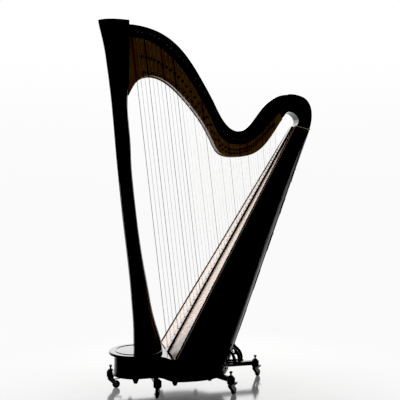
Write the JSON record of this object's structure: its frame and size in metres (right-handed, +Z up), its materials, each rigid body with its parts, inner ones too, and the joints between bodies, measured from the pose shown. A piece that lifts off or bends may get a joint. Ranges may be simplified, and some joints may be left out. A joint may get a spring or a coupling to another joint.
{
  "type": "concert harp",
  "caption": "Concert pedal harp: curved neck on a leaning column, half-round soundbox, strings between board and neck, fold-up pedals, on a wheeled trolley.",
  "frame": {"origin": "middle of the bottom face of the bounding box, on the floor under the trolley wheels", "axes": "+Z up, +X from the column (front) to the pedals (back), +Y towards the harp's right; the strings are on the -Y side of the neck"},
  "size_m": [1.1858, 0.463, 1.933],
  "materials": {
    "black_lacquer": "gloss",
    "pale_spruce": "satin",
    "brown_lacquer": "gloss",
    "gold_brass": "satin",
    "bright_steel": "polished",
    "dark_steel": "satin",
    "gut": "satin",
    "beech": "satin",
    "black_rubber": "matte",
    "black_plastic": "gloss"
  },
  "bodies": {
    "harp": {"action_plate_left": "gold_brass", "action_plate_right": "gold_brass", "back_strip": "black_lacquer", "base_box": "black_lacquer", "base_floor": "black_lacquer", "base_lid": "black_lacquer", "bridge_pins": "bright_steel", "caster_housings": "dark_steel", "caster_knobs": "dark_steel", "centre_strip": "brown_lacquer", "column_cap": "black_lacquer", "column_shell": "black_lacquer", "column_tube": "gold_brass", "dolly_arms": "dark_steel", "dolly_beam": "dark_steel", "edge_mouldings": "brown_lacquer", "harp_feet": "black_rubber", "joint_strip": "gold_brass", "natural_discs": "gold_brass", "neck": "black_lacquer", "pedal_pivot_bar": "bright_steel", "pedal_rods": "bright_steel", "pedal_springs": "bright_steel", "plinth": "black_lacquer", "sharp_discs": "gold_brass", "shoulder_block": "black_lacquer", "soundboard": "pale_spruce", "soundbox_ribs": "beech", "soundbox_shell": "black_lacquer", "string_eyelets": "gold_brass", "strings": "gut", "tuning_pins": "bright_steel"},
    "pedal_d": {"pedal_arm_d": "bright_steel"},
    "pedal_plate_d": {"pedal_tip_d": "gold_brass"},
    "pedal_c": {"pedal_arm_c": "bright_steel"},
    "pedal_plate_c": {"pedal_tip_c": "gold_brass"},
    "pedal_b": {"pedal_arm_b": "bright_steel"},
    "pedal_plate_b": {"pedal_tip_b": "gold_brass"},
    "pedal_e": {"pedal_arm_e": "bright_steel"},
    "pedal_plate_e": {"pedal_tip_e": "gold_brass"},
    "pedal_f": {"pedal_arm_f": "bright_steel"},
    "pedal_plate_f": {"pedal_tip_f": "gold_brass"},
    "pedal_g": {"pedal_arm_g": "bright_steel"},
    "pedal_plate_g": {"pedal_tip_g": "gold_brass"},
    "pedal_a": {"pedal_arm_a": "bright_steel"},
    "pedal_plate_a": {"pedal_tip_a": "gold_brass"},
    "natural_disc": {"natural_disc_c": "gold_brass"},
    "sharp_disc": {"sharp_disc_c": "gold_brass"},
    "swivel_front_right": {"caster_fork_front_right": "dark_steel"},
    "wheel_front_right": {"caster_wheel_front_right": "black_rubber"},
    "brake_front_right": {"caster_brake_front_right": "black_plastic"},
    "swivel_front_left": {"caster_fork_front_left": "dark_steel"},
    "wheel_front_left": {"caster_wheel_front_left": "black_rubber"},
    "brake_front_left": {"caster_brake_front_left": "black_plastic"},
    "swivel_rear_left": {"caster_fork_rear_left": "dark_steel"},
    "wheel_rear_left": {"caster_wheel_rear_left": "black_rubber"},
    "brake_rear_left": {"caster_brake_rear_left": "black_plastic"},
    "swivel_rear_right": {"caster_fork_rear_right": "dark_steel"},
    "wheel_rear_right": {"caster_wheel_rear_right": "black_rubber"},
    "brake_rear_right": {"caster_brake_rear_right": "black_plastic"}
  },
  "joints": [
    {"name": "pedal_press_d", "type": "hinge", "parent": "harp", "child": "pedal_d", "pos_m": [-0.1489, -0.168, 0.148], "axis": [0, 1, 0], "range_deg": [0, 5.5], "stiffness_Nm_per_rad": 60, "springref_deg": -3.44},
    {"name": "pedal_fold_d", "type": "hinge", "parent": "pedal_d", "child": "pedal_plate_d", "pos_m": [0.10137, -0.168, 0.148], "axis": [0, 1, 0], "range_deg": [0, 108]},
    {"name": "pedal_press_c", "type": "hinge", "parent": "harp", "child": "pedal_c", "pos_m": [-0.1489, -0.128, 0.148], "axis": [0, 1, 0], "range_deg": [0, 5.5], "stiffness_Nm_per_rad": 60, "springref_deg": -3.44},
    {"name": "pedal_fold_c", "type": "hinge", "parent": "pedal_c", "child": "pedal_plate_c", "pos_m": [0.1391, -0.128, 0.148], "axis": [0, 1, 0], "range_deg": [0, 108]},
    {"name": "pedal_press_b", "type": "hinge", "parent": "harp", "child": "pedal_b", "pos_m": [-0.1489, -0.088, 0.148], "axis": [0, 1, 0], "range_deg": [0, 5.5], "stiffness_Nm_per_rad": 60, "springref_deg": -3.44},
    {"name": "pedal_fold_b", "type": "hinge", "parent": "pedal_b", "child": "pedal_plate_b", "pos_m": [0.16232, -0.088, 0.148], "axis": [0, 1, 0], "range_deg": [0, 108]},
    {"name": "pedal_press_e", "type": "hinge", "parent": "harp", "child": "pedal_e", "pos_m": [-0.1489, 0.048, 0.148], "axis": [0, 1, 0], "range_deg": [0, 5.5], "stiffness_Nm_per_rad": 60, "springref_deg": -3.44},
    {"name": "pedal_fold_e", "type": "hinge", "parent": "pedal_e", "child": "pedal_plate_e", "pos_m": [0.17568, 0.048, 0.148], "axis": [0, 1, 0], "range_deg": [0, 108]},
    {"name": "pedal_press_f", "type": "hinge", "parent": "harp", "child": "pedal_f", "pos_m": [-0.1489, 0.088, 0.148], "axis": [0, 1, 0], "range_deg": [0, 5.5], "stiffness_Nm_per_rad": 60, "springref_deg": -3.44},
    {"name": "pedal_fold_f", "type": "hinge", "parent": "pedal_f", "child": "pedal_plate_f", "pos_m": [0.16232, 0.088, 0.148], "axis": [0, 1, 0], "range_deg": [0, 108]},
    {"name": "pedal_press_g", "type": "hinge", "parent": "harp", "child": "pedal_g", "pos_m": [-0.1489, 0.128, 0.148], "axis": [0, 1, 0], "range_deg": [0, 5.5], "stiffness_Nm_per_rad": 60, "springref_deg": -3.44},
    {"name": "pedal_fold_g", "type": "hinge", "parent": "pedal_g", "child": "pedal_plate_g", "pos_m": [0.1391, 0.128, 0.148], "axis": [0, 1, 0], "range_deg": [0, 108]},
    {"name": "pedal_press_a", "type": "hinge", "parent": "harp", "child": "pedal_a", "pos_m": [-0.1489, 0.168, 0.148], "axis": [0, 1, 0], "range_deg": [0, 5.5], "stiffness_Nm_per_rad": 60, "springref_deg": -3.44},
    {"name": "pedal_fold_a", "type": "hinge", "parent": "pedal_a", "child": "pedal_plate_a", "pos_m": [0.10137, 0.168, 0.148], "axis": [0, 1, 0], "range_deg": [0, 108]},
    {"name": "natural_disc_turn", "type": "hinge", "parent": "harp", "child": "natural_disc", "pos_m": [-0.10164, -0.018, 1.58282], "axis": [0, 1, 0], "range_deg": [0, 62.01]},
    {"name": "sharp_disc_turn", "type": "hinge", "parent": "harp", "child": "sharp_disc", "pos_m": [-0.09489, -0.018, 1.52927], "axis": [0, 1, 0], "range_deg": [0, 62.01]},
    {"name": "caster_swivel_front_right", "type": "hinge", "parent": "harp", "child": "swivel_front_right", "pos_m": [-0.5189, 0.07, 0.06], "axis": [0, 0, 1], "continuous": true},
    {"name": "wheel_roll_front_right", "type": "hinge", "parent": "swivel_front_right", "child": "wheel_front_right", "pos_m": [-0.48912, 0.07366, 0.02], "axis": [-0.1219, 0.9925, 0], "continuous": true},
    {"name": "brake_press_front_right", "type": "hinge", "parent": "swivel_front_right", "child": "brake_front_right", "pos_m": [-0.50203, 0.07207, 0.046], "axis": [-0.1219, 0.9925, 0], "range_deg": [0, 16]},
    {"name": "caster_swivel_front_left", "type": "hinge", "parent": "harp", "child": "swivel_front_left", "pos_m": [-0.3119, -0.177, 0.06], "axis": [0, 0, 1], "continuous": true},
    {"name": "wheel_roll_front_left", "type": "hinge", "parent": "swivel_front_left", "child": "wheel_front_left", "pos_m": [-0.30876, -0.14716, 0.02], "axis": [-0.9945, 0.1045, 0], "continuous": true},
    {"name": "brake_press_front_left", "type": "hinge", "parent": "swivel_front_left", "child": "brake_front_left", "pos_m": [-0.31012, -0.16009, 0.046], "axis": [-0.9945, 0.1045, 0], "range_deg": [0, 16]},
    {"name": "caster_swivel_rear_left", "type": "hinge", "parent": "harp", "child": "swivel_rear_left", "pos_m": [0.0641, -0.2095, 0.06], "axis": [0, 0, 1], "continuous": true},
    {"name": "wheel_roll_rear_left", "type": "hinge", "parent": "swivel_rear_left", "child": "wheel_rear_left", "pos_m": [0.08531, -0.18829, 0.02], "axis": [-0.7071, 0.7071, 0], "continuous": true},
    {"name": "brake_press_rear_left", "type": "hinge", "parent": "swivel_rear_left", "child": "brake_rear_left", "pos_m": [0.07612, -0.19748, 0.046], "axis": [-0.7071, 0.7071, 0], "range_deg": [0, 16]},
    {"name": "caster_swivel_rear_right", "type": "hinge", "parent": "harp", "child": "swivel_rear_right", "pos_m": [0.2941, 0.07, 0.06], "axis": [0, 0, 1], "continuous": true},
    {"name": "wheel_roll_rear_right", "type": "hinge", "parent": "swivel_rear_right", "child": "wheel_rear_right", "pos_m": [0.31604, 0.09046, 0.02], "axis": [-0.682, 0.7314, 0], "continuous": true},
    {"name": "brake_press_rear_right", "type": "hinge", "parent": "swivel_rear_right", "child": "brake_rear_right", "pos_m": [0.30653, 0.08159, 0.046], "axis": [-0.682, 0.7314, 0], "range_deg": [0, 16]}
  ],
  "couplings": [
    {"joint": "natural_disc_turn", "follows": "pedal_press_c", "ratio": 11.273},
    {"joint": "sharp_disc_turn", "follows": "pedal_press_c", "ratio": 11.273}
  ]
}
